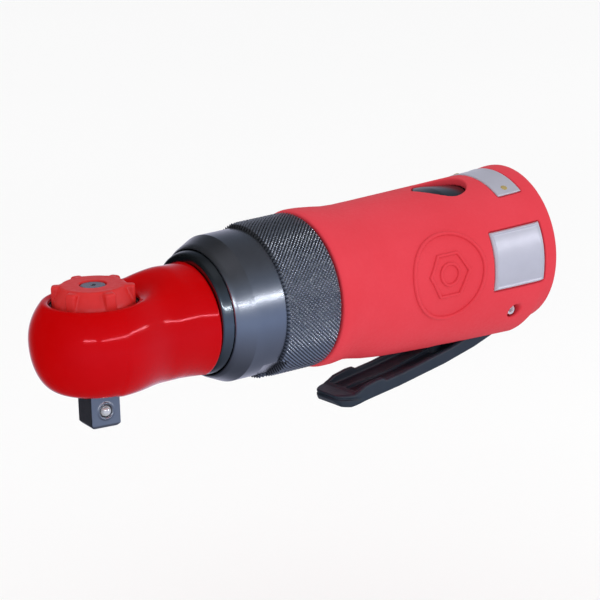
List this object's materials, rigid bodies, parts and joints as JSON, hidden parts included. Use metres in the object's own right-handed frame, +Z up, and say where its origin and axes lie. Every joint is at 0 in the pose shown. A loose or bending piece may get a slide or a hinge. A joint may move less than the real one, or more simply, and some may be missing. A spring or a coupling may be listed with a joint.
{
  "type": "air ratchet",
  "caption": "Pneumatic ratchet wrench: ball-shaped head with square drive and reversing knob, knurled clamp collar, moulded handle with throttle lever and rear air inlet.",
  "frame": {"origin": "middle of the drive square's end face", "axes": "+X runs along the handle from the drive towards the air inlet, +Z up along the drive's axis towards the reversing knob, +Y completes the right-handed frame"},
  "size_m": [0.1808, 0.0501, 0.0633],
  "materials": {
    "red_gloss": "gloss enamel",
    "red_rubber": "matt moulded rubber",
    "red_knob": "satin moulded nylon",
    "dark_steel": "satin, dark plated",
    "black_oxide": "black oxide",
    "bright_steel": "polished",
    "hardened_steel": "ground",
    "cast_aluminium": "cast and turned",
    "slate_plastic": "matt moulded composite",
    "black_plastic": "matt moulded",
    "plate_metal": "satin anodised",
    "brass": "turned",
    "vane_resin": "machined phenolic",
    "black_rubber": "moulded",
    "felt": "pressed felt"
  },
  "bodies": {
    "housing": {"head_cover": "red_gloss", "ratchet_housing": "dark_steel", "thrust_washer": "bright_steel", "housing_retaining_ring": "dark_steel", "crank_bearing": "bright_steel", "ring_gear": "hardened_steel", "gear_washer": "bright_steel", "front_end_plate": "cast_aluminium", "front_bearing": "bright_steel", "motor_cylinder": "hardened_steel", "cylinder_pin": "bright_steel", "rear_end_plate": "cast_aluminium", "rear_bearing": "bright_steel", "motor_housing": "dark_steel", "clamp_collar": "dark_steel", "grip_sleeve": "red_rubber", "side_plate": "plate_metal", "name_plate": "plate_metal", "name_plate_rivet_1": "brass", "name_plate_rivet_2": "brass", "lever_pin": "bright_steel", "valve_bushing": "brass", "valve_o_ring": "black_rubber", "valve_spring": "bright_steel", "inlet_bushing": "black_oxide", "inlet_screen": "bright_steel", "muffler_ring": "felt", "exhaust_deflector": "black_plastic"},
    "anvil": {"ratchet_anvil": "black_oxide", "pawl_pin": "hardened_steel", "detent_spring": "bright_steel"},
    "detent_ball": {"detent_ball": "bright_steel"},
    "pawl": {"pawl": "hardened_steel"},
    "knob": {"reverse_knob": "red_knob", "knob_screw": "dark_steel", "reverse_stem": "hardened_steel", "pawl_plunger": "hardened_steel", "plunger_spring": "bright_steel"},
    "yoke": {"ratchet_yoke": "hardened_steel"},
    "crank": {"crankshaft": "hardened_steel", "planet_pin_1": "bright_steel", "planet_pin_2": "bright_steel", "planet_pin_3": "bright_steel"},
    "drive_bushing": {"drive_bushing": "hardened_steel"},
    "planet_1": {"planet_gear_1": "hardened_steel"},
    "planet_2": {"planet_gear_2": "hardened_steel"},
    "planet_3": {"planet_gear_3": "hardened_steel"},
    "rotor": {"rotor": "hardened_steel", "rotor_vane_1": "vane_resin", "rotor_vane_2": "vane_resin", "rotor_vane_3": "vane_resin", "rotor_vane_4": "vane_resin", "rotor_vane_5": "vane_resin"},
    "lever": {"throttle_lever": "slate_plastic"},
    "throttle": {"throttle_stem": "bright_steel", "throttle_valve": "brass"}
  },
  "joints": [
    {"name": "anvil_spin", "type": "hinge", "parent": "housing", "child": "anvil", "pos_m": [0, 0, 0.02735], "axis": [0, 0, 1], "continuous": true},
    {"name": "detent_ball_press", "type": "slide", "parent": "anvil", "child": "detent_ball", "axis": [0.1409, 0.99, 0], "range_m": [0, 0.0009], "stiffness_N_per_m": 5, "springref_m": -0.001},
    {"name": "knob_turn", "type": "hinge", "parent": "anvil", "child": "knob", "pos_m": [0, 0, 0.02735], "axis": [0, 0, 1], "range_deg": [0, 45]},
    {"name": "pawl_rock", "type": "hinge", "parent": "anvil", "child": "pawl", "pos_m": [0.00495, -0.0007, 0.02735], "axis": [0, 0, 1], "range_deg": [-8, 0]},
    {"name": "yoke_rock", "type": "hinge", "parent": "housing", "child": "yoke", "pos_m": [0, 0, 0.02735], "axis": [0, 0, 1], "range_deg": [-5, 5]},
    {"name": "rotor_spin", "type": "hinge", "parent": "housing", "child": "rotor", "pos_m": [0.076, 0, 0.02735], "axis": [1, 0, 0], "continuous": true},
    {"name": "crank_spin", "type": "hinge", "parent": "housing", "child": "crank", "pos_m": [0.03, 0, 0.02735], "axis": [1, 0, 0], "continuous": true},
    {"name": "bushing_spin", "type": "hinge", "parent": "crank", "child": "drive_bushing", "pos_m": [0.0152, 0, 0.02875], "axis": [1, 0, 0], "continuous": true},
    {"name": "planet_spin_1", "type": "hinge", "parent": "crank", "child": "planet_1", "pos_m": [0.0489, 0.0084, 0.02735], "axis": [1, 0, 0], "continuous": true},
    {"name": "planet_spin_2", "type": "hinge", "parent": "crank", "child": "planet_2", "pos_m": [0.0489, -0.0042, 0.03462], "axis": [1, 0, 0], "continuous": true},
    {"name": "planet_spin_3", "type": "hinge", "parent": "crank", "child": "planet_3", "pos_m": [0.0489, -0.0042, 0.02008], "axis": [1, 0, 0], "continuous": true},
    {"name": "lever_pivot", "type": "hinge", "parent": "housing", "child": "lever", "pos_m": [0.143, 0, 0.01085], "axis": [0, 1, 0], "range_deg": [0, 5.5], "stiffness_Nm_per_rad": 0.04, "springref_deg": -17.19},
    {"name": "throttle_slide", "type": "slide", "parent": "housing", "child": "throttle", "axis": [0, 0, 1], "range_m": [0, 0.00163], "deforming": ["valve_spring"]}
  ],
  "couplings": [
    {"joint": "pawl_rock", "follows": "knob_turn", "ratio": -0.17778},
    {"joint": "crank_spin", "follows": "rotor_spin", "ratio": 0.1875},
    {"joint": "bushing_spin", "follows": "rotor_spin", "ratio": -0.1875},
    {"joint": "planet_spin_1", "follows": "rotor_spin", "ratio": -0.4875},
    {"joint": "planet_spin_2", "follows": "rotor_spin", "ratio": -0.4875},
    {"joint": "planet_spin_3", "follows": "rotor_spin", "ratio": -0.4875},
    {"joint": "lever_pivot", "follows": "throttle_slide", "rad_per_m": 58.824}
  ]
}
